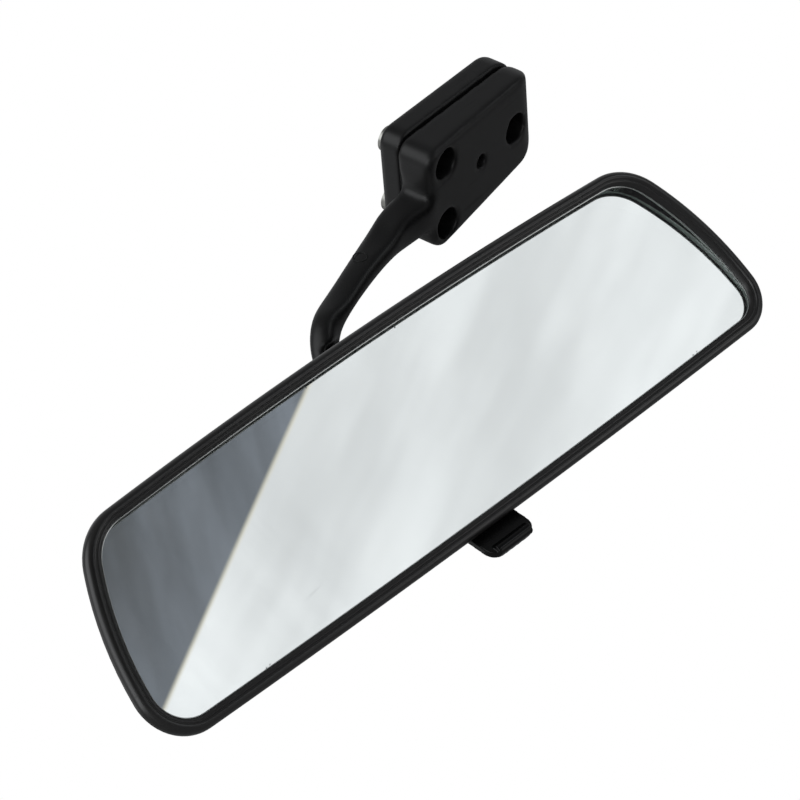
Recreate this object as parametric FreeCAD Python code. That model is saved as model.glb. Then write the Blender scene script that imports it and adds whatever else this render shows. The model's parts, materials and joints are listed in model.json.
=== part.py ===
"""Car interior rear-view mirror: roof mount, stay arm, ball joint and dipping head.

Millimetres. The origin is the centre of the mounting face, +X runs along the
mirror to the driver's right, +Y points forward to the windscreen, +Z is up.

Two working frames are used:
- the base frame has its z axis along the mount's screws, from the roof face
  (z = 0) down towards the driver, x along the mirror and y up towards the driver;
- the head frame has its origin in the middle of the mirror's front opening,
  x along the mirror, y forward and z up the mirror.
"""
import FreeCAD, Part
import math
import os

App = FreeCAD
V = App.Vector

# ---- placement of the two frames ------------------------------------------
BASE_TURN = 140.0          # about X: screws lean 40 degrees from straight down
HEAD_ROLL = 6.0            # the head hangs 6 degrees off level as it stands
HEAD_ORIGIN = V(-94.1, -45.05, -59.8)

# ---- mirror head outline (head frame, seen from the driver) ----------------
TOP_Z = 32.9               # rim top at the middle
BOTTOM_Z = 33.3           # rim bottom at the middle, below centre
TOP_R = 2083.0             # very slightly crowned top edge
BOTTOM_R = 5880.0
END_R = 99.7               # bulged ends, widest low down
END_X = 26.32              # centre of the end arc
END_Z = -24.8
CORNER_R = 16.0            # nominal corner; the four real ones differ from it
TOP_CORNER = 3.0           # rounder at the top
LOW_LEFT_CORNER = -1.0
LOW_RIGHT_CORNER = -3.8    # tightest

SEAM_Y = 1.5               # bezel meets the rear housing here
BEZEL_FRONT = -1.5
BEAD_WIDTH = 2.7           # rounded bead before the rim slopes in to the glass
LIP_WIDTH = 4.1
LIP_BACK = 0.35
END_SHARE = 1.25           # the rim is this much wider across the ends
SKIRT_GAP = 2.2            # inset of the bezel's inner skirt
SKIRT_WALL = 1.1
SKIRT_BACK = 6.4
SKIRT_X = 96.0             # the skirt runs along the top and bottom only
GLASS_INSET = 3.4
GLASS_FRONT = 0.4
GLASS_TOP_BACK = 6.0       # prismatic glass: thick at the top ...
GLASS_BOTTOM_BACK = 2.4    # ... and thin at the bottom
PRISM_HEIGHT = 60.0
PRISM_LEAN = math.atan2(GLASS_TOP_BACK - GLASS_BOTTOM_BACK, PRISM_HEIGHT)
COAT = 0.15
FILM = 0.3
FOAM = 1.0

HOUSING_DEPTH = 21.5       # behind the seam
HOUSING_X_INSET = 38.0     # how far the ends run in at full depth
HOUSING_Z_INSET = 17.0
WALL = 1.6
GLASS_PLAY = 0.25          # glass edge to housing wall

# ---- ball joint -------------------------------------------------------------
BALL = V(0, 37.0, 12.0)    # centre, head frame
BALL_R = 8.0
STEM_R = 3.8
LINER_IN = 8.05
LINER_OUT = 9.6
SEAT_R = 9.65
CUP_BORE = 11.2
CUP_R = 13.6
CUP_FRONT = -6.8           # along y from the ball centre
CUP_BACK = 12.4

# ---- dipping mechanism (head frame y, z) ------------------------------------
TILT_Y, TILT_Z = 11.4, 20.5
TILT_PIN_R = 1.5
LEVER_Y, LEVER_Z = 10.2, -24.0
LEVER_PIN_R = 1.2
CRANK = 6.0                # lever pivot to crank pin
CRANK_LEAN = 11.54         # degrees back from straight up
CRANK_PIN_R = 1.4
TAB_LEAN = 34.0            # degrees the tab slopes to the driver
TAB_LENGTH = 20.9
TAB_WIDTH = 18.0
TAB_THICK = 2.2
HUB_R = 3.0
PLATE_FRONT, PLATE_BACK = 10.15, 12.65
FIT = 0.02                 # radial play where a pin is pressed or held

# ---- mount block and plate (base frame) --------------------------------------
PLATE_T = 7.8
PAD_T = 0.8
BLOCK_TOP = 20.7           # hole face at the arm end
BLOCK_FALL = 0.05          # the hole face falls away to the right
BLOCK_Z = PLATE_T + PAD_T
SCREWS = [(-13.9, 11.0), (-14.8, -11.2), (21.9, 0.0)]
COUNTERBORE_R = 4.9
SLEEVE_R = 4.0
SLEEVE_BORE_R = 2.75
SLEEVE_TOP = 11.0
SLEEVE_STANDS = 2.6        # how far the sleeves stand out of the mounting face
SMALL_SCREW = (3.6, 0.0)
SMALL_BORE_R = 2.25

base_place = App.Placement(V(0, 0, 0), App.Rotation(V(1, 0, 0), BASE_TURN))
head_place = App.Placement(HEAD_ORIGIN, App.Rotation(V(0, 1, 0), HEAD_ROLL))


def in_row(shape, place):
    """A copy of the shape moved from a working frame to the part's frame."""
    moved = shape.copy()
    moved.Placement = place.multiply(moved.Placement)
    return moved


def join(*shapes):
    result = shapes[0]
    for shape in shapes[1:]:
        result = result.fuse(shape)
    return result.removeSplitter()


def box(x0, x1, y0, y1, z0, z1):
    return Part.makeBox(x1 - x0, y1 - y0, z1 - z0, V(x0, y0, z0))


def rod_x(radius, x0, x1, y, z):
    return Part.makeCylinder(radius, x1 - x0, V(x0, y, z), V(1, 0, 0))


def rod_y(radius, y0, y1, x, z):
    return Part.makeCylinder(radius, y1 - y0, V(x, y0, z), V(0, 1, 0))


def rod_z(radius, z0, z1, x, y):
    return Part.makeCylinder(radius, z1 - z0, V(x, y, z0), V(0, 0, 1))


def ring(outer, inner, length, base, axis):
    solid = Part.makeCylinder(outer, length, base, axis)
    return solid.cut(Part.makeCylinder(inner, length, base, axis))


def rounded_polygon(corners, radii, z):
    """Closed wire in an xy plane with each corner rounded."""
    edges = []
    tangents = []
    count = len(corners)
    for i, radius in enumerate(radii):
        here = V(corners[i][0], corners[i][1], z)
        before = V(corners[i - 1][0], corners[i - 1][1], z) - here
        after = V(corners[(i + 1) % count][0], corners[(i + 1) % count][1], z) - here
        before.normalize()
        after.normalize()
        half = before.getAngle(after) / 2
        run = radius / math.tan(half)
        middle = before + after
        middle.normalize()
        centre = here + middle * (radius / math.sin(half))
        tangents.append((here + before * run, centre - middle * radius, here + after * run))
    for i in range(count):
        start, crown, end = tangents[i]
        edges.append(Part.Arc(start, crown, end).toShape())
        edges.append(Part.LineSegment(end, tangents[(i + 1) % count][0]).toShape())
    return Part.Wire(edges)


# ---- the head's outline -------------------------------------------------------
def corner_arc(far_centre_z, far_radius, end_radius, corner, side):
    """Centre and tangent points of the arc that rounds one corner, in x and z."""
    d = math.hypot(END_X, END_Z - far_centre_z)
    ra = far_radius - corner
    rb = end_radius - corner
    along = (ra * ra - rb * rb + d * d) / (2 * d)
    off = math.sqrt(ra * ra - along * along)
    ux = END_X / d
    uz = (END_Z - far_centre_z) / d
    choices = []
    for sign in (1, -1):
        cx = ux * along - sign * uz * off
        cz = far_centre_z + uz * along + sign * ux * off
        choices.append((cx, cz))
    cx, cz = max(choices, key=lambda c: side * c[1] + c[0])
    reach = math.hypot(cx, cz - far_centre_z)
    on_far = (cx * far_radius / reach, far_centre_z + (cz - far_centre_z) * far_radius / reach)
    reach = math.hypot(cx - END_X, cz - END_Z)
    on_end = (END_X + (cx - END_X) * end_radius / reach, END_Z + (cz - END_Z) * end_radius / reach)
    mx = (on_far[0] + on_end[0]) / 2 - cx
    mz = (on_far[1] + on_end[1]) / 2 - cz
    reach = math.hypot(mx, mz)
    crown = (cx + mx * corner / reach, cz + mz * corner / reach)
    return on_far, crown, on_end


def head_wire(inset_x, inset_z, y, corner=CORNER_R):
    """The mirror's outline, shrunk by the insets, as a wire at depth y."""
    top_c = TOP_Z - TOP_R
    bottom_c = BOTTOM_R - BOTTOM_Z
    end_r = END_R - inset_x
    top = corner_arc(top_c, TOP_R - inset_z, end_r, corner + TOP_CORNER, 1)
    low = corner_arc(bottom_c, BOTTOM_R - inset_z, end_r, corner + LOW_RIGHT_CORNER, -1)
    low_left = corner_arc(bottom_c, BOTTOM_R - inset_z, end_r, corner + LOW_LEFT_CORNER, -1)
    end_mid = (END_X + math.sqrt(end_r ** 2 - END_Z ** 2), 0.0)

    def right(p):
        return V(p[0], y, p[1])

    def left(p):
        return V(-p[0], y, p[1])

    stops = [
        (left(top[0]), V(0, y, TOP_Z - inset_z), right(top[0])),
        (right(top[0]), right(top[1]), right(top[2])),
        (right(top[2]), right(end_mid), right(low[2])),
        (right(low[2]), right(low[1]), right(low[0])),
        (right(low[0]), V(0, y, -BOTTOM_Z + inset_z), left(low_left[0])),
        (left(low_left[0]), left(low_left[1]), left(low_left[2])),
        (left(low_left[2]), left(end_mid), left(top[2])),
        (left(top[2]), left(top[1]), left(top[0])),
    ]
    return Part.Wire([Part.Arc(*s).toShape() for s in stops])


def head_prism(inset, y0, y1, corner):
    face = Part.Face(head_wire(END_SHARE * inset, inset, y0, corner))
    return face.extrude(V(0, y1 - y0, 0))


def housing_form(wall, share_end):
    """Boat-shaped solid of the rear housing, or of its inside when wall > 0."""
    wires = []
    steps = 8
    for i in range(steps + 1):
        t = share_end * i / steps
        inset_x = HOUSING_X_INSET * (0.39 * t + 0.61 * t ** 2.2)
        inset_z = HOUSING_Z_INSET * (0.08 * t + 0.92 * t ** 3)
        slope_x = HOUSING_X_INSET * (0.39 + 1.342 * t ** 1.2) / HOUSING_DEPTH
        slope_z = HOUSING_Z_INSET * (0.08 + 2.76 * t ** 2) / HOUSING_DEPTH
        inset_x += wall * math.hypot(1, slope_x)
        inset_z += wall * math.hypot(1, slope_z)
        y = SEAM_Y + HOUSING_DEPTH * t
        wires.append(head_wire(inset_x, inset_z, y, CORNER_R + 7.0 * t - 15.0 * t ** 2))
    return Part.makeLoft(wires, True, False)


def glass_room():
    """The space that the glass and its backing can fill without touching the housing."""
    room = housing_form(WALL + GLASS_PLAY, 0.9)
    return room.fuse(box(-150, 150, -30, SEAM_Y + 0.01, -60, 60))


def prism_slab(inset, near, far):
    """A slab behind the glass, parallel to its sloping back face."""
    middle = (GLASS_TOP_BACK + GLASS_BOTTOM_BACK) / 2
    block = Part.makeBox(300, far - near, 100, V(-150, near, -50))
    block.rotate(V(0, 0, 0), V(1, 0, 0), -math.degrees(PRISM_LEAN))
    block.translate(V(0, middle, 0))
    return head_prism(inset, -20, 40, 12.0).common(block).common(glass_room())


# ---- mount ---------------------------------------------------------------------
BLOCK_OUTLINE = [(-22.5, 18.8), (33.6, 15.4), (38.2, 0), (29.0, -15.0), (-22.1, -18.5)]
BLOCK_CORNERS = [5.0, 11.0, 14.0, 12.0, 6.0]
PLATE_OUTLINE = [(-21.0, 19.3), (32.4, 16.2), (36.6, 0), (30.0, -15.4), (-21.0, -19.3)]
PLATE_CORNERS = [5.5, 9.0, 14.0, 11.0, 5.5]


def grown(outline, by):
    """An outline of the mount, moved out by a small distance."""
    corners = []
    for x, y in outline:
        sx = 1 if x > 0 else -1
        sy = 0 if y == 0 else math.copysign(1, y)
        corners.append((x + sx * by, y + sy * by))
    return corners


def block_prism(by, z0, z1):
    face = Part.Face(rounded_polygon(grown(BLOCK_OUTLINE, by), BLOCK_CORNERS, z0))
    return face.extrude(V(0, 0, z1 - z0))


def plate_prism(z0, z1):
    face = Part.Face(rounded_polygon(PLATE_OUTLINE, PLATE_CORNERS, z0))
    return face.extrude(V(0, 0, z1 - z0))


def edges_at(shape, test):
    return [e for e in shape.Edges if test(e)]


def make_header_plate():
    plate = plate_prism(0, PLATE_T)
    rim = edges_at(plate, lambda e: all(abs(v.Z) < 0.01 for v in e.Vertexes))
    plate = plate.makeFillet(1.7, rim)
    for x, y in SCREWS:
        plate = plate.cut(rod_z(SLEEVE_R + 0.1, -1, 10, x, y))
    return plate.cut(rod_z(1.3, 1.8, 10, *SMALL_SCREW))


def make_damper_pad():
    pad = block_prism(-1.4, PLATE_T, BLOCK_Z)
    for x, y in SCREWS:
        pad = pad.cut(rod_z(SLEEVE_R + 0.6, 0, 10, x, y))
    return pad.cut(rod_z(2.0, 0, 10, *SMALL_SCREW))


def is_crown_edge(edge):
    """True for the edges around the hole face, where it meets the side walls."""
    box_of = edge.BoundBox
    at_foot = box_of.ZMax < BLOCK_Z + 0.1
    upright = box_of.XLength < 0.05 and box_of.YLength < 0.05
    across_face = box_of.YLength > 25 and box_of.XLength < 0.5 and box_of.XMin > 0
    return not (at_foot or upright or across_face)


def make_block():
    """The hollow mount block, without the arm, in the base frame."""
    side_view = [(-60, 0), (39.6, 0), (38.6, 9.4), (28.4, 18.2), (-60, 22.6)]
    profile = rounded_polygon(side_view, [1.0, 1.0, 7.0, 10.0, 1.0], 0)
    form = Part.Face(profile).extrude(V(0, 0, 100))
    form.rotate(V(0, 0, 0), V(1, 0, 0), 90)
    form.translate(V(0, 50, 0))
    block = block_prism(0, BLOCK_Z, 30).common(form)
    crown = edges_at(block, is_crown_edge)
    block = block.makeFillet(2.0, crown)
    inside = block_prism(-2.6, BLOCK_Z, 17.2)
    inside = inside.cut(box(24.0, 60, -40, 40, 0, 40))
    inside = inside.cut(box(-40, -12.0, -40, 6, 0, 40))
    for x, y in SCREWS:
        inside = inside.cut(rod_z(COUNTERBORE_R + 1.8, 0, 40, x, y))
    inside = inside.cut(rod_z(SMALL_BORE_R + 1.6, 0, 40, *SMALL_SCREW))
    return block.cut(inside)


ARM_PATH = [
    # centre in the head frame, size across and size along the face slope
    (V(70.7, 38.2, 55.1), 16.5, 9.4),
    (V(61.8, 39.5, 53.3), 12.4, 11.4),
    (V(51.5, 40.1, 51.4), 7.7, 10.8),
    (V(40.9, 39.0, 48.7), 6.4, 9.9),
    (V(30.5, 37.8, 45.6), 6.2, 9.6),
    (V(21.6, 36.9, 42.7), 6.6, 9.5),
    (V(14.9, 36.6, 39.6), 7.9, 9.8),
    (V(10.9, 36.5, 35.2), 8.2, 10.0),
    (V(9.2, 36.7, 30.0), 8.8, 10.8),
    (V(7.0, 37.0, 23.0), 10.0, 12.0),
    (V(3.0, 37.2, 15.0), 10.4, 12.6),
]
ARM_EDGE_R = 2.9
ARM_TWIST = 40.0


def arm_section(i):
    centre, across, along = ARM_PATH[i]
    ahead = ARM_PATH[min(i + 1, len(ARM_PATH) - 1)][0]
    behind = ARM_PATH[max(i - 1, 0)][0]
    run = ahead - behind
    run.normalize()
    front = V(0, -1, 0)
    front = front - run * run.dot(front)
    front.normalize()
    up = front.cross(run)
    up.normalize()
    if i < 6 and up.z < 0:
        up = up * -1
    turn = math.radians(ARM_TWIST)
    n_light = front * math.cos(turn) + up * math.sin(turn)
    n_dark = front * math.sin(turn) - up * math.cos(turn)
    a = across / 2
    b = along / 2
    r = ARM_EDGE_R
    k = r * (1 - math.sqrt(0.5))
    edges = []
    turns = [(1, 1), (-1, 1), (-1, -1), (1, -1)]
    stops = []
    for s, t in turns:
        p1 = centre + n_light * (s * a) + n_dark * (t * (b - r))
        p2 = centre + n_light * (s * (a - r)) + n_dark * (t * b)
        mid = centre + n_light * (s * (a - k)) + n_dark * (t * (b - k))
        stops.append((p1, mid, p2) if s * t > 0 else (p2, mid, p1))
    for j in range(4):
        edges.append(Part.Arc(*stops[j]).toShape())
        edges.append(Part.LineSegment(stops[j][2], stops[(j + 1) % 4][0]).toShape())
    return Part.Wire(edges)


def make_arm():
    """Arm and ball cup, in the head frame."""
    arm = Part.makeLoft([arm_section(i) for i in range(len(ARM_PATH))], True, False)
    y0 = BALL.y + CUP_FRONT
    y1 = BALL.y + CUP_BACK
    cup = rod_y(CUP_R, y0, y1, BALL.x, BALL.z)
    back = edges_at(cup, lambda e: abs(e.BoundBox.YMin - y1) < 0.1 and abs(e.BoundBox.YMax - y1) < 0.1)
    cup = cup.makeFillet(3.0, back)
    arm = arm.fuse(cup)
    notch = Part.makeBox(20, 16.0, 8.9, V(-0.7, -8.6, 26.0))
    notch.rotate(V(0, 0, 0), V(0, 0, 1), -ARM_TWIST)
    notch.translate(V(7.5, 33.0, 0))
    arm = arm.cut(notch)
    arm = arm.cut(rod_y(CUP_BORE, y0 - 20, y1 - 2.6, BALL.x, BALL.z))
    return arm


def make_stay_arm():
    arm = in_row(make_arm(), head_place)
    block = in_row(make_block(), base_place)
    stay = block.fuse(arm)
    low_room = block_prism(1.4, -6, BLOCK_Z)
    stay = stay.cut(in_row(low_room, base_place))
    for x, y in SCREWS:
        stay = stay.cut(in_row(rod_z(COUNTERBORE_R, SLEEVE_TOP, 40, x, y), base_place))
        stay = stay.cut(in_row(rod_z(SLEEVE_R + 0.1, 0, 40, x, y), base_place))
    stay = stay.cut(in_row(rod_z(SMALL_BORE_R, 15.2, 40, *SMALL_SCREW), base_place))
    stay = stay.cut(in_row(rod_z(1.35, 0, 40, *SMALL_SCREW), base_place))
    return stay.removeSplitter()


def make_screw_sleeves():
    sleeves = []
    for x, y in SCREWS:
        low = V(x, y, -SLEEVE_STANDS)
        tube = ring(SLEEVE_R, SLEEVE_BORE_R, SLEEVE_TOP + SLEEVE_STANDS, low, V(0, 0, 1))
        sleeves.append(tube)
    return Part.makeCompound(sleeves)


def make_plate_screw():
    shank = rod_z(1.28, 2.4, 15.2, *SMALL_SCREW)
    head = rod_z(2.1, 15.2, 17.1, *SMALL_SCREW)
    head = head.makeFillet(0.7, edges_at(head, lambda e: e.BoundBox.ZMin > 17.0))
    x, y = SMALL_SCREW
    for turn in (0, 90):
        slot = box(-1.2, 1.2, -0.25, 0.25, 16.2, 18)
        slot.rotate(V(0, 0, 0), V(0, 0, 1), turn + 30)
        slot.translate(V(x, y, 0))
        head = head.cut(slot)
    return join(shank, head)


# ---- ball joint ------------------------------------------------------------------
def polar_cut(shell, half_angle, direction, keep_inside):
    """Keep the part of a shell inside, or outside, a cone about the y axis."""
    reach = 40.0
    tip = BALL
    cone = Part.makeCone(0, reach * math.tan(math.radians(half_angle)), reach, tip, direction)
    return shell.common(cone) if keep_inside else shell.cut(cone)


def ball_shell():
    outer = Part.makeSphere(LINER_OUT, BALL)
    return outer.cut(Part.makeSphere(LINER_IN, BALL))


def make_ball_liner_rear():
    cap = polar_cut(ball_shell(), 68, V(0, 1, 0), True)
    return cap.cut(rod_y(2.0, BALL.y, BALL.y + 20, BALL.x, BALL.z))


def make_ball_liner_front():
    half = box(-40, 40, BALL.y - 40, BALL.y - 0.6, -40, 60)
    zone = ball_shell().common(half)
    return polar_cut(zone, 38, V(0, -1, 0), False)


def make_socket_ring():
    y0 = BALL.y + CUP_FRONT
    body = rod_y(CUP_BORE - 0.05, y0, y0 + 5.6, BALL.x, BALL.z)
    body = body.cut(Part.makeSphere(SEAT_R, BALL))
    body = body.cut(rod_y(7.4, y0 - 1, y0 + 8, BALL.x, BALL.z))
    flare = Part.makeCone(9.0, 7.4, 1.6, V(BALL.x, y0, BALL.z), V(0, 1, 0))
    body = body.cut(flare)
    for k in range(4):
        notch = box(-1.3, 1.3, y0 - 1, y0 + 1.6, 9.6, 12)
        notch.rotate(V(0, 0, 0), V(0, 1, 0), 45 + 90 * k)
        notch.translate(V(BALL.x, 0, BALL.z))
        body = body.cut(notch)
    return body


def make_pressure_cup():
    y0 = BALL.y + 2.4
    y1 = BALL.y + 9.6
    body = rod_y(CUP_BORE - 0.12, y0, y1 - 1.0, BALL.x, BALL.z)
    hub = rod_y(7.6, y0, y1, BALL.x, BALL.z)
    body = join(body, hub)
    return body.cut(Part.makeSphere(SEAT_R, BALL))


def make_disc_spring():
    y1 = BALL.y + CUP_BACK - 2.6
    y0 = BALL.y + 8.6
    outer = Part.makeCone(10.6, 8.6, y1 - y0 - 0.05, V(BALL.x, y0 + 0.02, BALL.z), V(0, 1, 0))
    inner = Part.makeCone(9.9, 7.9, y1 - y0 - 0.05, V(BALL.x, y0 + 0.02, BALL.z), V(0, 1, 0))
    return outer.cut(inner)


def make_ball_stud():
    ball = Part.makeSphere(BALL_R, BALL)
    stem = rod_y(STEM_R, PLATE_BACK, BALL.y - 5, BALL.x, BALL.z)
    flange = rod_y(7.0, PLATE_BACK, PLATE_BACK + 2.0, BALL.x, BALL.z)
    shank = rod_y(3.0, PLATE_FRONT, PLATE_BACK + 1, BALL.x, BALL.z)
    swage = Part.makeCone(3.4, 4.6, 1.2, V(BALL.x, PLATE_FRONT - 1.2, BALL.z), V(0, 1, 0))
    return join(ball, stem, flange, shank, swage)


# ---- dipping mechanism ---------------------------------------------------------------
TONGUE_X = 6.2
KNUCKLE = (14.0, 25.0)
EAR = (26.0, 31.0)


def make_toggle_bracket():
    plate = box(-22, 22, PLATE_FRONT, PLATE_BACK, 0, TILT_Z)
    neck = box(-12, 12, PLATE_FRONT, PLATE_BACK, -8, 2)
    tongue = box(-TONGUE_X, TONGUE_X, PLATE_FRONT, PLATE_BACK, -16, -6)
    fork = box(-TONGUE_X, TONGUE_X, TILT_Y - 2.8, TILT_Y + 3.0, -20.6, -13)
    body = join(plate, neck, tongue, fork)
    for side in (-1, 1):
        x0, x1 = sorted((side * KNUCKLE[0], side * KNUCKLE[1]))
        body = body.fuse(rod_x(3.4, x0, x1, TILT_Y, TILT_Z))
        for z in (4, 12):
            body = body.cut(rod_y(2.2, 0, 30, side * 16, z))
    body = body.removeSplitter()
    body = body.cut(box(-KNUCKLE[0], KNUCKLE[0], 0, 30, TILT_Z - 1.5, 40))
    body = body.cut(rod_x(2.3, -40, 40, TILT_Y, TILT_Z))
    slot_r = CRANK_PIN_R + 0.15
    slot = box(-20, 20, TILT_Y - slot_r, TILT_Y + slot_r, -30, -17.4)
    slot = slot.fuse(rod_x(slot_r, -20, 20, TILT_Y, -17.4))
    body = body.cut(slot)
    body = body.cut(rod_y(3.0 + FIT, 0, 30, BALL.x, BALL.z))
    return body.removeSplitter()


def make_tilt_bushes():
    bushes = []
    for side in (-1, 1):
        x0, x1 = sorted((side * (KNUCKLE[0] - 0.4), side * KNUCKLE[1]))
        tube = rod_x(2.3 - FIT, x0, x1, TILT_Y, TILT_Z)
        f0, f1 = sorted((side * KNUCKLE[1], side * (KNUCKLE[1] + 0.6)))
        flange = rod_x(3.2, f0, f1, TILT_Y, TILT_Z)
        bush = join(tube, flange)
        bushes.append(bush.cut(rod_x(TILT_PIN_R + 0.05, -40, 40, TILT_Y, TILT_Z)))
    return Part.makeCompound(bushes)


def make_tilt_pin():
    pin = rod_x(TILT_PIN_R, -33, 33, TILT_Y, TILT_Z)
    for side in (-1, 1):
        x0, x1 = sorted((side * 31.3, side * 32.0))
        groove = ring(3, 1.1, 0.7, V(x0, TILT_Y, TILT_Z), V(1, 0, 0))
        pin = pin.cut(groove)
    return pin


def make_pin_clips():
    clips = []
    for side in (-1, 1):
        x0, x1 = sorted((side * 31.35, side * 31.95))
        clip = ring(2.9, 1.12, x1 - x0, V(x0, TILT_Y, TILT_Z), V(1, 0, 0))
        gap = box(x0 - 1, x1 + 1, TILT_Y - 0.8, TILT_Y + 0.8, TILT_Z - 5, TILT_Z)
        clips.append(clip.cut(gap))
    return Part.makeCompound(clips)


def lever_point(distance, across=0.0):
    """A point along the tab, in head frame y and z."""
    lean = math.radians(TAB_LEAN)
    y = LEVER_Y - distance * math.sin(lean) - across * math.cos(lean)
    z = LEVER_Z - distance * math.cos(lean) + across * math.sin(lean)
    return y, z


def crank_point():
    lean = math.radians(CRANK_LEAN)
    return LEVER_Y + CRANK * math.sin(lean), LEVER_Z + CRANK * math.cos(lean)


def make_dipping_lever():
    half = TAB_WIDTH / 2
    tab = Part.makeBox(TAB_WIDTH, TAB_THICK, TAB_LENGTH, V(-half, -TAB_THICK / 2, -TAB_LENGTH))
    low = edges_at(tab, lambda e: e.BoundBox.ZMax < -TAB_LENGTH + 0.1 and e.BoundBox.YLength > 1)
    tab = tab.makeFillet(4.0, low)
    bead = rod_x(1.7, -half + 2.2, half - 2.2, -0.6, -TAB_LENGTH + 1.4)
    tab = tab.fuse(bead)
    tab.rotate(V(0, 0, 0), V(1, 0, 0), -TAB_LEAN)
    tab.translate(V(0, LEVER_Y, LEVER_Z))
    hub = rod_x(HUB_R, -half, half, LEVER_Y, LEVER_Z)
    body = tab.fuse(hub)
    cy, cz = crank_point()
    for side in (-1, 1):
        x0, x1 = sorted((side * 6.7, side * half))
        cheek = Part.makeBox(x1 - x0, 4.6, CRANK, V(x0, -2.3, 0))
        cheek.rotate(V(0, 0, 0), V(1, 0, 0), -CRANK_LEAN)
        cheek.translate(V(0, LEVER_Y, LEVER_Z))
        body = body.fuse(cheek)
        body = body.fuse(rod_x(2.3, x0, x1, cy, cz))
    body = body.removeSplitter()
    body = body.cut(rod_x(LEVER_PIN_R + 0.05, -40, 40, LEVER_Y, LEVER_Z))
    return body.cut(rod_x(CRANK_PIN_R + FIT, -40, 40, cy, cz))


def make_crank_pin():
    cy, cz = crank_point()
    return rod_x(CRANK_PIN_R, -TAB_WIDTH / 2 + 0.3, TAB_WIDTH / 2 - 0.3, cy, cz)


def make_lever_pin():
    return rod_x(LEVER_PIN_R, -13.4, 13.4, LEVER_Y, LEVER_Z)


LEAF_Y = 13.55
LEAF_T = 0.4
LEAF_Z = (-25.2, -21.4)
LEAF_SCREW_X = 20.5


def make_detent_spring():
    z0, z1 = LEAF_Z
    leaf = box(-24, 24, LEAF_Y, LEAF_Y + LEAF_T, z0, z1)
    for side in (-1, 1):
        leaf = leaf.cut(rod_y(1.3, 10, 20, side * LEAF_SCREW_X, (z0 + z1) / 2))
    return leaf


def make_spring_screws():
    screws = []
    z = sum(LEAF_Z) / 2
    for side in (-1, 1):
        x = side * LEAF_SCREW_X
        head = rod_y(1.9, LEAF_Y - 1.3, LEAF_Y, x, z)
        shank = rod_y(1.1, LEAF_Y - 0.1, LEAF_Y + 3.2, x, z)
        slot = box(x - 2, x + 2, LEAF_Y - 1.4, LEAF_Y - 0.8, z - 0.25, z + 0.25)
        screws.append(join(head, shank).cut(slot))
    return Part.makeCompound(screws)


# ---- head shells and glass ---------------------------------------------------------------
def make_rear_housing():
    outer = housing_form(0, 1.0)
    inner = housing_form(WALL, (HOUSING_DEPTH - WALL) / HOUSING_DEPTH)
    mouth = head_prism(WALL, SEAM_Y - 1, SEAM_Y + 0.05, 13.0)
    shell = outer.cut(inner).cut(mouth)
    features = []
    for side in (-1, 1):
        x0, x1 = sorted((side * EAR[0], side * EAR[1]))
        features.append(box(x0, x1, TILT_Y - 3, 30, TILT_Z - 3, TILT_Z + 3))
        x0, x1 = sorted((side * 10.1, side * 13.2))
        features.append(box(x0, x1, LEVER_Y - 2.8, LEVER_Y + 2.8, -40, LEVER_Z + 3))
        x0, x1 = sorted((side * 16.5, side * 24.5))
        features.append(box(x0, x1, LEAF_Y + LEAF_T, 30, LEAF_Z[0] - 0.6, LEAF_Z[1] + 0.6))
        for x in (46, 72, 96):
            features.append(box(side * x - 0.8, side * x + 0.8, 0, 30, -40, 40))
    behind = Part.makeBox(300, 60, 100, V(-150, COAT + FILM + FOAM + 0.05, -50))
    behind.rotate(V(0, 0, 0), V(1, 0, 0), -math.degrees(PRISM_LEAN))
    behind.translate(V(0, (GLASS_TOP_BACK + GLASS_BOTTOM_BACK) / 2, 0))
    skirt_room = head_prism(0, -10, SKIRT_BACK + 0.15, CORNER_R)
    skirt_room = skirt_room.cut(head_prism(SKIRT_GAP + SKIRT_WALL + 1.2, -11, 20, 11.0))
    for feature in features:
        inside = feature.common(outer).common(behind)
        if feature.BoundBox.XLength < 2:
            inside = inside.cut(skirt_room)
        shell = shell.fuse(inside)
    shell = shell.removeSplitter()
    shell = shell.cut(rod_x(TILT_PIN_R + FIT, -40, 40, TILT_Y, TILT_Z))
    shell = shell.cut(rod_x(LEVER_PIN_R + FIT, -13.6, 13.6, LEVER_Y, LEVER_Z))
    shell = shell.cut(box(-10.0, 10.0, SEAM_Y + 0.9, 13.2, -40, -24))
    shell = shell.cut(rod_y(9.0, 15, 40, BALL.x, BALL.z))
    for side in (-1, 1):
        shell = shell.cut(rod_y(1.12, LEAF_Y, LEAF_Y + 3.3, side * LEAF_SCREW_X, sum(LEAF_Z) / 2))
    return shell


def make_bezel():
    rim = head_prism(0, BEZEL_FRONT, SEAM_Y, CORNER_R)
    front = edges_at(rim, lambda e: e.BoundBox.YMax < BEZEL_FRONT + 0.1)
    rim = rim.makeFillet(2.0, front)
    funnel = [head_wire(END_SHARE * BEAD_WIDTH, BEAD_WIDTH, BEZEL_FRONT - 0.05, 13.3),
              head_wire(END_SHARE * LIP_WIDTH, LIP_WIDTH, 0.0, 11.6)]
    rim = rim.cut(Part.makeLoft(funnel, True, True))
    rim = rim.cut(head_prism(LIP_WIDTH, -5, 10, 11.6))
    rim = rim.cut(head_prism(GLASS_INSET - 0.2, LIP_BACK, 10, 12.2))
    skirt = head_prism(SKIRT_GAP, SEAM_Y - 0.5, SKIRT_BACK, 13.5)
    skirt = skirt.cut(head_prism(SKIRT_GAP + SKIRT_WALL, -1, 12, 12.4))
    skirt = skirt.common(box(-SKIRT_X, SKIRT_X, -5, 20, -60, 60))
    bezel = rim.fuse(skirt).removeSplitter()
    return bezel.cut(box(-11, 11, SEAM_Y - 0.1, 12, -40, -20))


def make_prism_glass():
    body = head_prism(GLASS_INSET, GLASS_FRONT, 20, 12.0)
    return body.common(prism_slab(GLASS_INSET, -20, 0))


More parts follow.
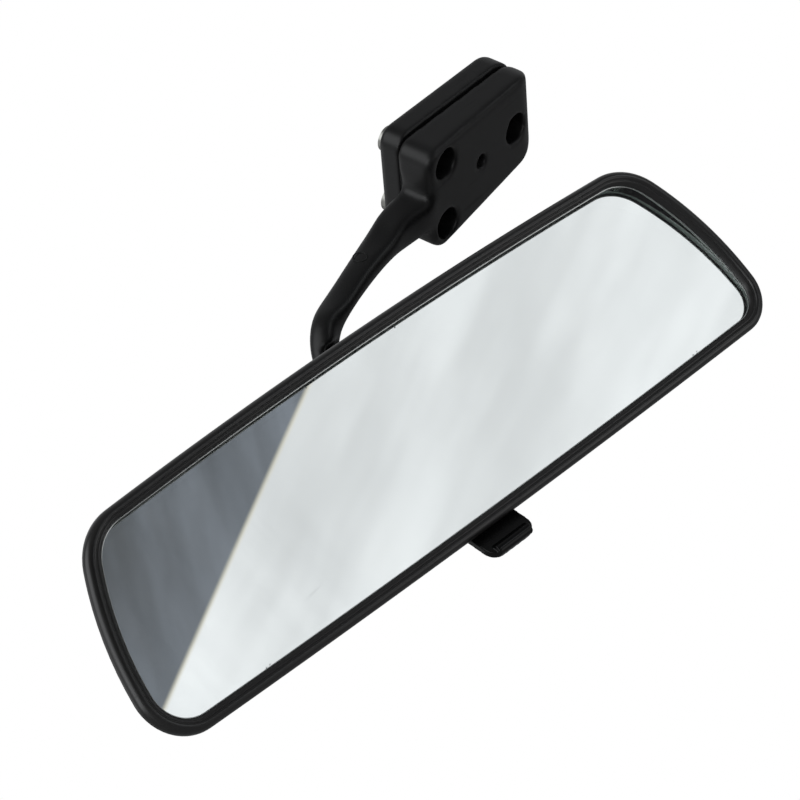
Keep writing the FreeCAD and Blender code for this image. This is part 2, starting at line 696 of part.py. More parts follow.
def make_foam_pad():
    pad = prism_slab(8.0, COAT + FILM, COAT + FILM + FOAM)
    return pad.cut(box(-10, 10, -5, 20, -40, -12))


parts = {
    "header_plate": in_row(make_header_plate(), base_place),
    "damper_pad": in_row(make_damper_pad(), base_place),
    "stay_arm": make_stay_arm(),
    "screw_sleeves": in_row(make_screw_sleeves(), base_place),
    "plate_screw": in_row(make_plate_screw(), base_place),
    "socket_ring": in_row(make_socket_ring(), head_place),
    "pressure_cup": in_row(make_pressure_cup(), head_place),
    "disc_spring": in_row(make_disc_spring(), head_place),
    "ball_liner_rear": in_row(make_ball_liner_rear(), head_place),
    "ball_liner_front": in_row(make_ball_liner_front(), head_place),
    "ball_stud": in_row(make_ball_stud(), head_place),
    "toggle_bracket": in_row(make_toggle_bracket(), head_place),
    "tilt_bushes": in_row(make_tilt_bushes(), head_place),
    "tilt_pin": in_row(make_tilt_pin(), head_place),
    "pin_clips": in_row(make_pin_clips(), head_place),
    "rear_housing": in_row(make_rear_housing(), head_place),
    "bezel": in_row(make_bezel(), head_place),
    "prism_glass": in_row(make_prism_glass(), head_place),
    "mirror_silvering": in_row(prism_slab(GLASS_INSET + 0.1, 0, COAT), head_place),
    "safety_film": in_row(prism_slab(GLASS_INSET + 0.1, COAT, COAT + FILM), head_place),
    "foam_pad": in_row(make_foam_pad(), head_place),
    "dipping_lever": in_row(make_dipping_lever(), head_place),
    "crank_pin": in_row(make_crank_pin(), head_place),
    "lever_pin": in_row(make_lever_pin(), head_place),
    "detent_spring": in_row(make_detent_spring(), head_place),
    "spring_screws": in_row(make_spring_screws(), head_place),
}

os.makedirs("parts", exist_ok=True)
for name, shape in parts.items():
    shape.exportStep("parts/" + name + ".step")
    print(name, "valid", shape.isValid(), "solids", len(shape.Solids), "volume", round(shape.Volume, 1))
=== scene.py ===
"""Looks of an interior rearview mirror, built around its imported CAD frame."""

import json
import math

import bmesh
import bpy
import numpy as np
from mathutils import Matrix, Vector


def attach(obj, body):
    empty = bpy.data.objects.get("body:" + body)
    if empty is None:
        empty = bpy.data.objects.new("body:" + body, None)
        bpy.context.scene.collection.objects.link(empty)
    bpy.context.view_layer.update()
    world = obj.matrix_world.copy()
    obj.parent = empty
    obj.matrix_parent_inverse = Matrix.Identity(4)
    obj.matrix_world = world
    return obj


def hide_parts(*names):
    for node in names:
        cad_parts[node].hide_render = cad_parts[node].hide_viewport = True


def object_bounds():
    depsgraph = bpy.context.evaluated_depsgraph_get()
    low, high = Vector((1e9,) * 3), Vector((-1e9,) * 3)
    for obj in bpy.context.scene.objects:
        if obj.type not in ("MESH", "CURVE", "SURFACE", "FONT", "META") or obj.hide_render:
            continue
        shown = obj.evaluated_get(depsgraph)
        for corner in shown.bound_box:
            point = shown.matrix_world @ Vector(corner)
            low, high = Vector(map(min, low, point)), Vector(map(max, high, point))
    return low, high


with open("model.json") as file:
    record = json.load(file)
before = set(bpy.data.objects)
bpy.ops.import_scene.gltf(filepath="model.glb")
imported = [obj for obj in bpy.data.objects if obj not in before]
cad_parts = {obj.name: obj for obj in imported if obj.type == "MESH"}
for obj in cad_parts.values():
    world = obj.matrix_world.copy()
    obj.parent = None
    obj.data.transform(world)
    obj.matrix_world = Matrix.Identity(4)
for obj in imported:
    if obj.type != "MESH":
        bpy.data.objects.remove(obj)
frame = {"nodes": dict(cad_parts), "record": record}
cad_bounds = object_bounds()
nodes = frame["nodes"]
scene = bpy.context.scene
slot_of = {part["node"]: part["material_slot"] for part in frame["record"]["subparts"]}
bodies = frame["record"]["behaviour"]["bodies"]
body_of = {node: body for body, members in bodies.items() for node in members}

# The head's own frame: x along the mirror, y forward, z up, in millimetres.
HEAD_ORIGIN = (-94.1, -45.05, -59.8)
HEAD_ROLL = math.radians(6.0)
# The mount's frame: z along the roof screws, away from the roof.
BASE_TURN = math.radians(140.0)

# Outline of the head, as in the CAD: two long arcs, an arc at each end, four corners.
TOP_Z, TOP_R = 32.9, 2083.0
BOTTOM_Z, BOTTOM_R = 33.3, 5880.0
END_R, END_X, END_Z = 99.7, 26.32, -24.8
CORNER_R = 16.0
TOP_CORNER, LOW_LEFT_CORNER, LOW_RIGHT_CORNER = 3.0, -1.0, -3.8
# How fast the ends and the corners draw in when the outline is shrunk.
END_SHARE, CORNER_SHARE = 1.25, 1.07
LONG_STEPS, CORNER_STEPS, END_STEPS = 60, 22, 40

# Rim section as inset and depth: seam, bead, fine groove, sloping band, lip, seat of the glass.
RIM_PROFILE = [
    (0.0, 1.46), (0.0, 1.0), (0.0, 0.55), (0.05, 0.12), (0.19, -0.3), (0.42, -0.7), (0.74, -1.05),
    (1.12, -1.32), (1.52, -1.47), (1.92, -1.49), (2.2, -1.4), (2.42, -1.2), (2.55, -0.98),
    (2.66, -0.88), (2.78, -0.92), (2.88, -1.02), (3.0, -1.03), (3.3, -0.8), (3.65, -0.47),
    (3.98, -0.16), (4.07, -0.02), (4.1, 0.12), (4.07, 0.28), (3.98, 0.34), (3.3, 0.34),
    (3.2, 0.42), (3.2, 1.46), (1.6, 1.5),
]
# The glass's polished arris shows as a thin bright line inside the lip.
ARRIS_PROFILE = [(4.02, 0.385), (4.1, 0.31), (4.16, 0.3), (4.29, 0.36), (4.32, 0.385)]

# Flakes broken out of the glass's edge: x, z and size in the head's frame.
CHIPS = [(115.5, 7.0, 0.4), (117.4, 1.0, 0.35), (92.5, -27.9, 0.3), (-85.8, -28.0, 0.3),
         (-22.0, 28.3, 0.3), (14.0, 28.35, 0.35)]
CHIP_EDGE_Y, CHIP_FRONT_Y, CHIP_BACK_Y = 0.392, 0.33, 0.398

# The round mark of an ejector pin on the arm's light face.
MARK_AT, MARK_NORMAL = (39.27, 37.27, 51.38), (-0.093, -0.759, 0.645)
MARK_RADIUS, MARK_THICKNESS = 0.0021, 0.00022

# The silvering sits this far inside the back of the glass, so the two faces don't coincide.
SILVER_SHIFT_MM = 0.03


def from_head(x, y, z):
    """A point of the head's frame, in the row frame, in metres."""
    c, s = math.cos(HEAD_ROLL), math.sin(HEAD_ROLL)
    ox, oy, oz = HEAD_ORIGIN
    return Vector((c * x + s * z + ox, y + oy, -s * x + c * z + oz)) / 1000


def head_vector(x, y, z):
    return from_head(x, y, z) - from_head(0, 0, 0)


def from_base(x, y, z):
    """A point of the mount's frame, in the row frame, in metres."""
    c, s = math.cos(BASE_TURN), math.sin(BASE_TURN)
    return Vector((x, c * y - s * z, s * y + c * z)) / 1000


# ---- node trees ------------------------------------------------------------------
class Tree:
    """Short names for building a node tree."""

    def __init__(self, tree, coords):
        self.tree = tree
        self.coords = self.add("ShaderNodeTexCoord").outputs[coords]

    def add(self, kind, **inputs):
        node = self.tree.nodes.new(kind)
        for key, value in inputs.items():
            self.feed(value, node.inputs[key.replace("_", " ")])
        return node

    def feed(self, value, socket):
        if isinstance(value, bpy.types.NodeSocket):
            self.tree.links.new(value, socket)
        else:
            socket.default_value = value

    def math(self, operation, a, b=0.0):
        node = self.add("ShaderNodeMath")
        node.operation = operation
        self.feed(a, node.inputs[0])
        self.feed(b, node.inputs[1])
        return node.outputs[0]

    def spread(self, value, low, high, to_low, to_high, interpolation="LINEAR"):
        node = self.add("ShaderNodeMapRange", Value=value, From_Min=low, From_Max=high,
                        To_Min=to_low, To_Max=to_high)
        node.interpolation_type = interpolation
        return node.outputs[0]

    def blend(self, share, a, b):
        node = self.add("ShaderNodeMix")
        node.data_type = "RGBA"
        self.feed(share, node.inputs["Factor"])
        self.feed(a, node.inputs["A"])
        self.feed(b, node.inputs["B"])
        return node.outputs["Result"]


class Look(Tree):
    """One material: its tree starts with a Principled shader."""

    def __init__(self, name):
        self.material = bpy.data.materials.new(name)
        self.material.use_nodes = True
        super().__init__(self.material.node_tree, "Object")
        self.shader = self.tree.nodes["Principled BSDF"]

    def set(self, socket, value):
        self.feed(value, self.shader.inputs[socket])

    def noise(self, scale, detail=4.0, stretch=(1, 1, 1), roughness=0.5, turn=(0, 0, 0)):
        place = self.add("ShaderNodeMapping", Vector=self.coords, Scale=stretch, Rotation=turn)
        noise = self.add("ShaderNodeTexNoise", Vector=place.outputs[0], Scale=scale,
                         Detail=detail, Roughness=roughness)
        return noise.outputs["Fac"]

    def bump(self, height, strength, distance, normal=None):
        node = self.add("ShaderNodeBump", Height=height, Strength=strength, Distance=distance)
        if normal is not None:
            self.feed(normal, node.inputs["Normal"])
        return node.outputs[0]


# ---- materials -------------------------------------------------------------------
def grey(value, tint=(1, 1, 1)):
    return (value * tint[0], value * tint[1], value * tint[2], 1.0)


def plastic(name, dark, light, rough, grain, depth, level=0.5, coat=0.0, tint=(1, 1, 1.03)):
    """Moulded black plastic: fine grain, faint flow marks, hairline scuffs."""
    look = Look(name)
    flow = look.noise(38.0, 5.0, (1, 1, 0.45))
    fine = look.noise(grain, 3.0)
    scuffs = look.noise(520.0, 2.0, (0.06, 1, 1), 0.6, (0.5, 0.7, 0.4))
    scuffs = look.spread(scuffs, 0.63, 0.72, 0.0, 1.0)
    tone = look.spread(flow, 0.35, 0.65, 0.0, 1.0)
    look.set("Base Color", look.blend(tone, grey(dark, tint), grey(light, tint)))
    base = look.spread(flow, 0.3, 0.7, rough - 0.05, rough + 0.06)
    look.set("Roughness", look.math("ADD", base, look.math("MULTIPLY", scuffs, 0.10)))
    look.set("Specular IOR Level", level)
    look.set("Coat Weight", coat)
    look.set("Coat Roughness", 0.2)
    normal = look.bump(fine, 0.5, depth)
    look.set("Normal", look.bump(scuffs, 0.10, 0.00001, normal))
    return look.material


def metal(name, colour, rough, grain=900.0, stretch=(1, 1, 1)):
    """Steel with fine streaks and a cloudy, slightly worn tone."""
    look = Look(name)
    streaks = look.noise(grain, 4.0, stretch)
    tone = look.spread(look.noise(180.0, 4.0), 0.3, 0.7, 0.0, 1.0)
    worn = tuple(c * 0.72 for c in colour)
    look.set("Base Color", look.blend(tone, (*worn, 1), (*colour, 1)))
    look.set("Metallic", 1.0)
    look.set("Roughness", look.spread(streaks, 0.3, 0.7, rough - 0.07, rough + 0.1))
    look.set("Normal", look.bump(streaks, 0.25, 0.00002))
    return look.material


def soft(name, dark, light, rough, cells, depth):
    """Rubber, foam and film: dull, with a fine open texture."""
    look = Look(name)
    pores = look.add("ShaderNodeTexVoronoi", Vector=look.coords, Scale=cells).outputs["Distance"]
    cloud = look.spread(look.noise(90.0, 4.0), 0.3, 0.7, 0, 1)
    look.set("Base Color", look.blend(cloud, (*dark, 1), (*light, 1)))
    look.set("Roughness", look.spread(pores, 0.0, 0.6, rough - 0.06, rough + 0.05))
    look.set("Normal", look.bump(pores, 0.4, depth))
    return look.material


def glass_haze(look):
    """Wipe marks and hairlines on the glass, strongest towards its left end."""
    wipe = look.noise(46.0, 5.0, (1, 1, 0.20), 0.58, (0, math.radians(24), 0))
    swirl = look.noise(19.0, 3.0, (1, 1, 0.5), 0.5, (0, math.radians(-38), 0))
    hairs = look.noise(300.0, 1.5, (0.035, 1, 1), 0.5, (0, math.radians(-52), 0))
    across = look.add("ShaderNodeSeparateXYZ", Vector=look.coords).outputs["X"]
    most = look.spread(across, -0.19, -0.10, 0.16, 0.03)
    marks = look.math("MULTIPLY", look.spread(wipe, 0.40, 0.68, 0.0, 1.0),
                      look.spread(swirl, 0.36, 0.60, 0.25, 1.0))
    lines = look.math("MULTIPLY", look.spread(hairs, 0.705, 0.73, 0.0, 1.0),
                      look.spread(swirl, 0.48, 0.54, 0.0, 0.8))
    return look.math("MULTIPLY", look.math("ADD", marks, lines), most)


def glass(name):
    """Clear glass with wipe marks and hairlines, and a greener ground edge."""
    look = Look(name)
    haze = glass_haze(look)
    normal = look.add("ShaderNodeNewGeometry").outputs["Normal"]
    facing = look.math("ABSOLUTE", look.add("ShaderNodeSeparateXYZ", Vector=normal).outputs["Y"])
    edge = look.spread(facing, 0.5, 0.6, 1.0, 0.0)
    clear = look.blend(edge, (0.985, 0.995, 0.99, 1), (0.72, 0.90, 0.81, 1))
    look.set("Base Color", look.blend(haze, clear, (0.72, 0.77, 0.80, 1)))
    solid = look.math("MULTIPLY", edge, 0.75)
    look.set("Transmission Weight", look.math("SUBTRACT", look.math("SUBTRACT", 1.0, haze), solid))
    look.set("Roughness", look.math("MULTIPLY", edge, 0.35))
    look.set("IOR", 1.52)
    return look.material


def glint(name):
    """The polished arris where the silvering wraps the edge of the glass."""
    look = Look(name)
    tone = look.noise(260.0, 3.0)
    look.set("Base Color", look.blend(tone, (0.80, 0.84, 0.82, 1), (0.95, 0.97, 0.96, 1)))
    look.set("Metallic", 1.0)
    look.set("Roughness", look.spread(look.noise(900.0, 3.0), 0.3, 0.7, 0.10, 0.28))
    return look.material


def silver(name):
    """The mirror coat: a clean metal, a little uneven in tone."""
    look = Look(name)
    cloud = look.noise(30.0, 3.0)
    look.set("Base Color", look.blend(cloud, (0.90, 0.915, 0.92, 1), (0.93, 0.94, 0.94, 1)))
    look.set("Metallic", 1.0)
    look.set("Roughness", 0.0)
    return look.material


# One look for each material slot of the record. A plastic's numbers are its dark and light tone,
# roughness, grain per metre and grain depth in metres.
looks = {
    "black_plastic": plastic("satin_black_plastic", 0.0085, 0.0125, 0.36, 5200.0, 0.000014),
    "black_plate": plastic("plate_black_plastic", 0.009, 0.013, 0.34, 4800.0, 0.000012),
    "housing_plastic": plastic("grained_black_plastic", 0.010, 0.015, 0.48, 2600.0, 0.00004),
    "damper_rubber": soft("damper_rubber", (0.006,) * 3, (0.012,) * 3, 0.85, 2500.0, 0.00003),
    "zinc_steel": metal("zinc_plated_steel", (0.66, 0.66, 0.62), 0.32),
    "spring_steel": metal("oiled_spring_steel", (0.36, 0.35, 0.33), 0.36, 1500.0, (0.1, 1, 1)),
    "acetal": plastic("natural_acetal", 0.55, 0.62, 0.42, 3500.0, 0.00001),
    "black_acetal": plastic("black_acetal", 0.02, 0.03, 0.4, 3500.0, 0.00001),
    "chromed_ball": metal("chromed_steel", (0.78, 0.78, 0.8), 0.14, 700.0),
    "glass": glass("mirror_glass"),
    "silver": silver("mirror_silver"),
    "film": soft("safety_film", (0.10, 0.11, 0.11), (0.15, 0.16, 0.16), 0.6, 1600.0, 0.00001),
    "foam": soft("foam", (0.03,) * 3, (0.05,) * 3, 0.95, 900.0, 0.0002),
}
rim_look = plastic("rim_black_plastic", 0.0095, 0.0135, 0.30, 6000.0, 0.000008,
                   level=0.8, coat=0.3, tint=(1.06, 1, 0.97))
lever_look = plastic("lever_black_plastic", 0.004, 0.006, 0.2, 5200.0, 0.00001, level=0.35)
glint_look = glint("glass_arris")

for name, node in nodes.items():
    for place in node.material_slots:
        place.material = looks[slot_of[name]]


# ---- mesh helpers ----------------------------------------------------------------
def mesh_of(name, points, faces):
    mesh = bpy.data.meshes.new(name)
    mesh.from_pydata(points, [], faces)
    return mesh


def add_piece(name, mesh, look, body, stands_for=()):
    piece = bpy.data.objects.new(name, mesh)
    scene.collection.objects.link(piece)
    mesh.materials.clear()
    mesh.materials.append(look)
    mesh.polygons.foreach_set("use_smooth", [True] * len(mesh.polygons))
    for node in stands_for:
        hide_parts(node)
    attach(piece, body)
    return piece


def read_points(mesh):
    points = np.empty(len(mesh.vertices) * 3)
    mesh.vertices.foreach_get("co", points)
    return points.reshape(-1, 3)


def relax(mesh, rounds, share):
    """Moves each point towards its neighbours' mean; share is one number or one per point."""
    points = read_points(mesh)
    pairs = np.empty(len(mesh.edges) * 2, int)
    mesh.edges.foreach_get("vertices", pairs)
    a, b = pairs.reshape(-1, 2).T
    count = np.bincount(np.concatenate([a, b]), minlength=len(points)).reshape(-1, 1)
    for _ in range(rounds):
        total = np.zeros_like(points)
        for axis in range(3):
            total[:, axis] += np.bincount(a, points[b, axis], len(points))
            total[:, axis] += np.bincount(b, points[a, axis], len(points))
        points += share * (total / count - points)
    mesh.vertices.foreach_set("co", points.ravel())
    mesh.update()


def remeshed(name, node, voxel, turn):
    """A closed, evenly divided copy of a node's mesh, remeshed in a turned frame."""
    mesh = nodes[node].data.copy()
    work = bmesh.new()
    work.from_mesh(mesh)
    bmesh.ops.remove_doubles(work, verts=work.verts, dist=1e-6)
    work.to_mesh(mesh)
    work.free()
    mesh.transform(turn.to_4x4())
    raw = bpy.data.objects.new(name + ".raw", mesh)
    scene.collection.objects.link(raw)
    remesh = raw.modifiers.new("remesh", "REMESH")
    remesh.mode = "VOXEL"
    remesh.voxel_size = voxel
    bpy.context.view_layer.update()
    depsgraph = bpy.context.evaluated_depsgraph_get()
    shape = bpy.data.meshes.new_from_object(raw.evaluated_get(depsgraph))
    bpy.data.objects.remove(raw)
    bpy.data.meshes.remove(mesh)
    shape.transform(turn.inverted().to_4x4())
    return shape


def moulded_copy(node, name, look, voxel, rounds, turn=Matrix.Identity(3), blends=()):
    """A node's shape with every edge rounded as moulding rounds it, more so within each blend."""
    shape = remeshed(name, node, voxel, turn)
    relax(shape, rounds, 0.5)
    for centre, radius, extra in blends:
        far = np.linalg.norm(read_points(shape) - np.array(centre), axis=1) / radius
        share = 0.5 * np.clip(1.4 - 1.4 * far, 0, 1)
        relax(shape, extra, share.reshape(-1, 1))
    return add_piece(name, shape, look, body_of[node], [node])


# ---- mount, stay and lever -------------------------------------------------------
to_base = Matrix.Rotation(-BASE_TURN, 3, "X")
# Where the arm blends most: centre, radius in metres, rounds of smoothing.
arm_root = (from_base(-23.0, -1.0, 16.0), 0.013, 60)
arm_bend = (from_head(22, 37, 42.5), 0.026, 40)
moulded_copy("stay_arm", "stay_moulding", looks["black_plastic"], voxel=0.00055, rounds=7,
             turn=to_base, blends=[arm_root, arm_bend])
moulded_copy("header_plate", "plate_moulding", looks["black_plate"], voxel=0.0005, rounds=5,
             turn=to_base)
moulded_copy("dipping_lever", "lever_moulding", lever_look, voxel=0.00025, rounds=6)


def ring_mark(name, centre, normal, radius, thick):
    """The shallow ring that an ejector pin leaves in a moulding."""
    sides, turns, flatness = 10, 48, 0.55
    up = Vector(normal).normalized()
    across = up.orthogonal().normalized()
    along = up.cross(across)
    points, faces = [], []
    for i in range(turns):
        t = 2 * math.pi * i / turns
        out = across * math.cos(t) + along * math.sin(t)
        for j in range(sides):
            s = 2 * math.pi * j / sides
            reach = radius + thick * math.cos(s)
            points.append(Vector(centre) + out * reach + up * (flatness * thick * math.sin(s)))
            k, m = (i + 1) % turns, (j + 1) % sides
            faces.append((i * sides + j, k * sides + j, k * sides + m, i * sides + m))
    return mesh_of(name, points, faces)


mark = ring_mark("ejector_mark", from_head(*MARK_AT), head_vector(*MARK_NORMAL),
                 MARK_RADIUS, MARK_THICKNESS)
add_piece("ejector_mark", mark, looks["black_plastic"], "mount")


# ---- rim and the glass's edge ----------------------------------------------------
def corner_arc(far_z, far_r, end_r, corner, side):
    """Centre, start angle and end angle of one rounded corner, in the head's x and z."""
    d = math.hypot(END_X, END_Z - far_z)
    ra, rb = far_r - corner, end_r - corner
    along = (ra * ra - rb * rb + d * d) / (2 * d)
    off = math.sqrt(ra * ra - along * along)
    ux, uz = END_X / d, (END_Z - far_z) / d
    options = [(ux * along - s * uz * off, far_z + uz * along + s * ux * off) for s in (1, -1)]
    cx, cz = max(options, key=lambda p: side * p[1] + p[0])
    return cx, cz, math.atan2(cz - far_z, cx), math.atan2(cz - END_Z, cx - END_X)


def arc(cx, cz, r, a0, a1, count):
    angles = [a0 + (a1 - a0) * i / count for i in range(count)]
    return [(cx + r * math.cos(a), cz + r * math.sin(a)) for a in angles]


def half_outline(inset, low_change):
    """The right half of the outline, from the top middle to the bottom middle."""
    corner = CORNER_R - CORNER_SHARE * inset
    top_corner, low_corner = corner + TOP_CORNER, corner + low_change
    end_r = END_R - END_SHARE * inset
    top_z, top_r = TOP_Z - TOP_R, TOP_R - inset
    low_z, low_r = BOTTOM_R - BOTTOM_Z, BOTTOM_R - inset
    tx, tz, t_far, t_end = corner_arc(top_z, top_r, end_r, top_corner, 1)
    bx, bz, b_far, b_end = corner_arc(low_z, low_r, end_r, low_corner, -1)
    half = arc(0, top_z, top_r, math.pi / 2, t_far, LONG_STEPS)
    half += arc(tx, tz, top_corner, t_far, t_end, CORNER_STEPS)
    half += arc(END_X, END_Z, end_r, t_end, b_end, END_STEPS)
    half += arc(bx, bz, low_corner, b_end, b_far, CORNER_STEPS)
    half += arc(0, low_z, low_r, b_far, -math.pi / 2, LONG_STEPS)
    return half + [(0.0, low_z - low_r)]


def outline(inset):
    """Points of the head's outline, shrunk by inset, clockwise from the top middle."""
    left = [(-x, z) for x, z in half_outline(inset, LOW_LEFT_CORNER)]
    return half_outline(inset, LOW_RIGHT_CORNER) + left[-2:0:-1]


def sweep(name, profile):
    """A closed section carried round the head's outline."""
    rings = [[from_head(x, y, z) for x, z in outline(inset)] for inset, y in profile]
    count = len(rings[0])
    faces = []
    for i in range(len(rings)):
        k = (i + 1) % len(rings)
        for j in range(count):
            m = (j + 1) % count
            faces.append((i * count + j, i * count + m, k * count + m, k * count + j))
    mesh = mesh_of(name, [point for ring in rings for point in ring], faces)
    work = bmesh.new()
    work.from_mesh(mesh)
    bmesh.ops.recalc_face_normals(work, faces=work.faces)
    work.to_mesh(mesh)
    work.free()
    return mesh


def edge_chips(name, places):
    """Small flakes along the glass's edge: flat, six-sided and uneven."""
    points, faces = [], []
    sides = 6
    for number, (x, z, size) in enumerate(places):
        first = len(points)
        for i in range(sides):
            t = 2 * math.pi * i / sides + 0.6 * number
            reach = size * (1.0 + 0.35 * math.sin(2.3 * i + number))
            points.append(from_head(x + reach * math.cos(t), CHIP_EDGE_Y, z + 0.6 * reach * math.sin(t)))
        points += [from_head(x, CHIP_FRONT_Y, z), from_head(x, CHIP_BACK_Y, z)]
        front, back = first + sides, first + sides + 1
        for i in range(sides):
            k = (i + 1) % sides
            faces += [(first + i, first + k, front), (first + k, first + i, back)]
    return mesh_of(name, points, faces)


def silver_coat():
    """The silvering, moved a hair into the glass, with flat faces as a mirror needs."""
    coat = nodes["mirror_silvering"].data.copy()
    coat.transform(Matrix.Translation(head_vector(0, -SILVER_SHIFT_MM, 0)))
    add_piece("silver_coat", coat, looks["silver"], "head", ["mirror_silvering"])
    coat.polygons.foreach_set("use_smooth", [False] * len(coat.polygons))


add_piece("bezel_rim", sweep("bezel_rim", RIM_PROFILE), rim_look, "head", ["bezel"])
add_piece("glass_arris", sweep("glass_arris", ARRIS_PROFILE), glint_look, "head")
add_piece("edge_chips", edge_chips("edge_chips", CHIPS), glint_look, "head")
silver_coat()


# ---- stage -----------------------------------------------------------------------
FLOOR_Z = -0.90
FLOOR_HALF = 60.0
FLOOR_TONE = 0.4

# A soft panel low in front, which the rim's bead and the arris pick up as thin bright lines.
PANEL_FROM_OBJECT = Vector((0.39, -0.42, -0.33))
PANEL_SIDE = 0.30
PANEL_RADIANCE = 0.55

# The camera's place and its three axes, in the row frame.
CAMERA_AT = (-0.66845, -0.89683, 0.00391)
CAMERA_RIGHT = (0.61717, -0.45480, -0.64203)
CAMERA_UP = (0.55590, -0.32540, 0.76488)
CAMERA_BACK = (-0.55682, -0.82900, 0.05199)
CAMERA_LENS = 166.32


def floor_look(name, tone):
    """A matt pale floor that the camera sees as plain white."""
    look = Look(name)
    look.set("Base Color", grey(tone))
    look.set("Roughness", 0.9)
    glow = look.add("ShaderNodeEmission", Strength=1.0)
    path = look.add("ShaderNodeLightPath")
    mix = look.add("ShaderNodeMixShader", Fac=path.outputs["Is Camera Ray"])
    look.feed(look.shader.outputs[0], mix.inputs[1])
    look.feed(glow.outputs[0], mix.inputs[2])
    look.feed(mix.outputs[0], look.tree.nodes["Material Output"].inputs["Surface"])
    return look.material


def add_floor():
    corners = [(-1, -1), (1, -1), (1, 1), (-1, 1)]
    points = [(x * FLOOR_HALF, y * FLOOR_HALF, FLOOR_Z) for x, y in corners]
    mesh = mesh_of("floor", points, [(0, 1, 2, 3)])
    mesh.materials.append(floor_look("pale_floor", FLOOR_TONE))
    floor = bpy.data.objects.new("floor", mesh)
    scene.collection.objects.link(floor)


def add_panel():
    light = bpy.data.lights.new("low_panel", "AREA")
    light.shape = "SQUARE"
    light.size = PANEL_SIDE
    light.energy = PANEL_RADIANCE * math.pi * PANEL_SIDE ** 2
    panel = bpy.data.objects.new("low_panel", light)
    panel.location = (Vector(cad_bounds[0]) + Vector(cad_bounds[1])) / 2 + PANEL_FROM_OBJECT
    panel.rotation_euler = PANEL_FROM_OBJECT.to_track_quat("Z", "Y").to_euler()
    scene.collection.objects.link(panel)


def add_camera():
    data = bpy.data.cameras.new("camera")
    data.sensor_width = 36.0
    data.lens = CAMERA_LENS
    data.clip_end = 200.0
    camera = bpy.data.objects.new("camera", data)
    axes = Matrix((CAMERA_RIGHT, CAMERA_UP, CAMERA_BACK)).transposed().to_4x4()
    camera.matrix_world = Matrix.Translation(CAMERA_AT) @ axes
    scene.collection.objects.link(camera)
    scene.camera = camera


# ---- surroundings ----------------------------------------------------------------
# Soft boxes: direction, the cosines between which each fades in, strength.
SOFT_BOXES = [
    ((0.557, 0.829, -0.05), -0.1, 0.95, 0.30),      # behind
    ((0.1, -0.1, 1.0), 0.25, 0.95, 0.10),           # above
    ((-0.65, -0.10, 0.73), 0.80, 0.97, 1.1),        # upper left
    ((-0.72, 0.66, 0.1), 0.72, 0.97, 0.32),         # left, behind
    ((-0.86, -0.45, -0.05), 0.80, 0.97, 1.5),       # left, in front
]
BASE_LIGHT = 0.045
ROOM_TINT = (0.97, 0.985, 1.0)

# The white screen that the mirror shows: its straight edge runs through two directions, and it
# lies on the side of a third.
SCREEN_EDGE_A = Vector((0.5605, -0.8171, 0.1347))
SCREEN_EDGE_B = Vector((0.4853, -0.8690, 0.0964))
SCREEN_SIDE = Vector((0.65, -0.75, 0.12))
SCREEN_MIDDLE = (0.57, -0.81, 0.14)
SCREEN_TINT = (0.965, 0.99, 1.0)
EDGE_SHIFT = 0.0007
FOLDS_ACROSS, FOLDS_ALONG = 40.0, 9.0
SMEARS_ACROSS, SMEARS_SLANT, SMEARS_ALONG = 46.0, 30.0, 14.0
EDGE_CREAM = (0.80, 0.76, 0.62, 1)
DIM_FAR, DIM_NEAR = (0.080, 0.087, 0.093, 1), (0.225, 0.25, 0.285, 1)


class Sky(Tree):
    """The world's tree, which works on directions."""

    def __init__(self, world):
        world.use_nodes = True
        world.node_tree.nodes.clear()
        super().__init__(world.node_tree, "Generated")

    def towards(self, vector):
        """Cosine between the direction looked in and a vector."""
        node = self.add("ShaderNodeVectorMath")
        node.operation = "DOT_PRODUCT"
        self.feed(self.coords, node.inputs[0])
        node.inputs[1].default_value = Vector(vector).normalized()
        return node.outputs["Value"]

    def fade(self, value, low, high, to_low=0.0, to_high=1.0):
        return self.spread(value, low, high, to_low, to_high, "SMOOTHSTEP")

    def scaled(self, colour, factor):
        node = self.add("ShaderNodeVectorMath")
        node.operation = "SCALE"
        node.inputs[0].default_value = colour
        self.feed(factor, node.inputs["Scale"])
        return node.outputs[0]

    def folds(self, x, y, scale, detail):
        """A soft noise over two running coordinates."""
        place = self.add("ShaderNodeCombineXYZ", X=x, Y=y).outputs[0]
        noise = self.add("ShaderNodeTexNoise", Vector=place, Scale=scale, Detail=detail)
        return noise.outputs["Fac"]


def room_light(sky):
    """Dim surroundings with a few soft boxes in them."""
    total = BASE_LIGHT
    for direction, low, high, strength in SOFT_BOXES:
        box = sky.math("MULTIPLY", sky.fade(sky.towards(direction), low, high), strength)
        total = sky.math("ADD", total, box)
    return sky.scaled(ROOM_TINT, total)


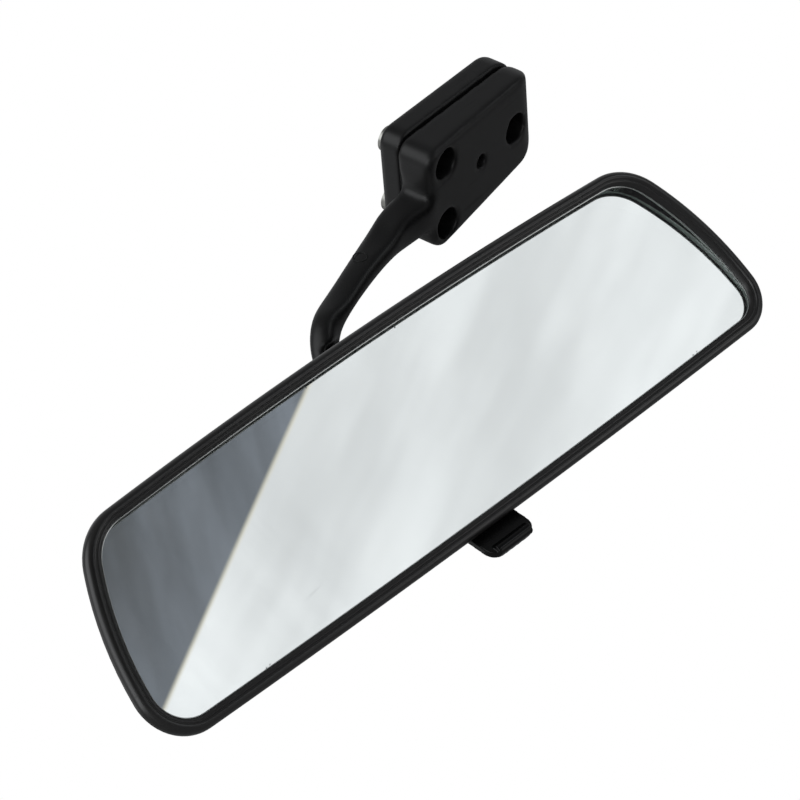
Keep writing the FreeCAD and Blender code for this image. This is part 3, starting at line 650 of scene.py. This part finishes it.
def screen_light(sky):
    """A folded white sheet with a cream edge, and the smeary dim side beyond that edge."""
    across = SCREEN_EDGE_B.cross(SCREEN_EDGE_A)
    if across.dot(SCREEN_SIDE) < 0:
        across = -across
    past = sky.math("ADD", sky.towards(across), EDGE_SHIFT)
    along = sky.towards(SCREEN_EDGE_A - SCREEN_EDGE_B)

    x = sky.math("MULTIPLY", past, FOLDS_ACROSS)
    y = sky.math("MULTIPLY", along, FOLDS_ALONG)
    streaks = sky.fade(sky.folds(x, y, 1.0, 3.0), 0.35, 0.65, 0.80, 0.97)
    patches = sky.fade(sky.folds(x, y, 0.45, 1.0), 0.35, 0.65, 0.0, 0.12)
    sheet = sky.scaled(SCREEN_TINT, sky.math("ADD", streaks, patches))
    lit = sky.blend(sky.fade(past, -0.0002, 0.0016), EDGE_CREAM, sheet)

    skew = sky.math("ADD", sky.math("MULTIPLY", past, SMEARS_ACROSS),
                    sky.math("MULTIPLY", along, SMEARS_SLANT))
    smears = sky.folds(skew, sky.math("MULTIPLY", along, SMEARS_ALONG), 1.0, 4.0)
    depth = sky.math("ADD", sky.spread(past, -0.05, 0.0, 0.0, 0.85),
                     sky.fade(smears, 0.34, 0.66, -0.24, 0.36))
    dim = sky.blend(depth, DIM_FAR, DIM_NEAR)
    return sky.blend(sky.fade(past, -0.0007, 0.0009), dim, lit)


def build_world():
    """Plain white to the camera; a soft studio to everything else."""
    world = bpy.data.worlds.new("studio")
    scene.world = world
    sky = Sky(world)
    near_screen = sky.fade(sky.towards(SCREEN_MIDDLE), 0.90, 0.96)
    seen = sky.blend(near_screen, room_light(sky), screen_light(sky))
    to_camera = sky.add("ShaderNodeLightPath").outputs["Is Camera Ray"]
    colour = sky.blend(to_camera, seen, (1.0, 1.0, 1.0, 1))
    background = sky.add("ShaderNodeBackground", Color=colour, Strength=1.0)
    sky.add("ShaderNodeOutputWorld", Surface=background.outputs[0])


add_floor()
add_panel()
add_camera()
build_world()
scene.view_settings.view_transform = "Standard"
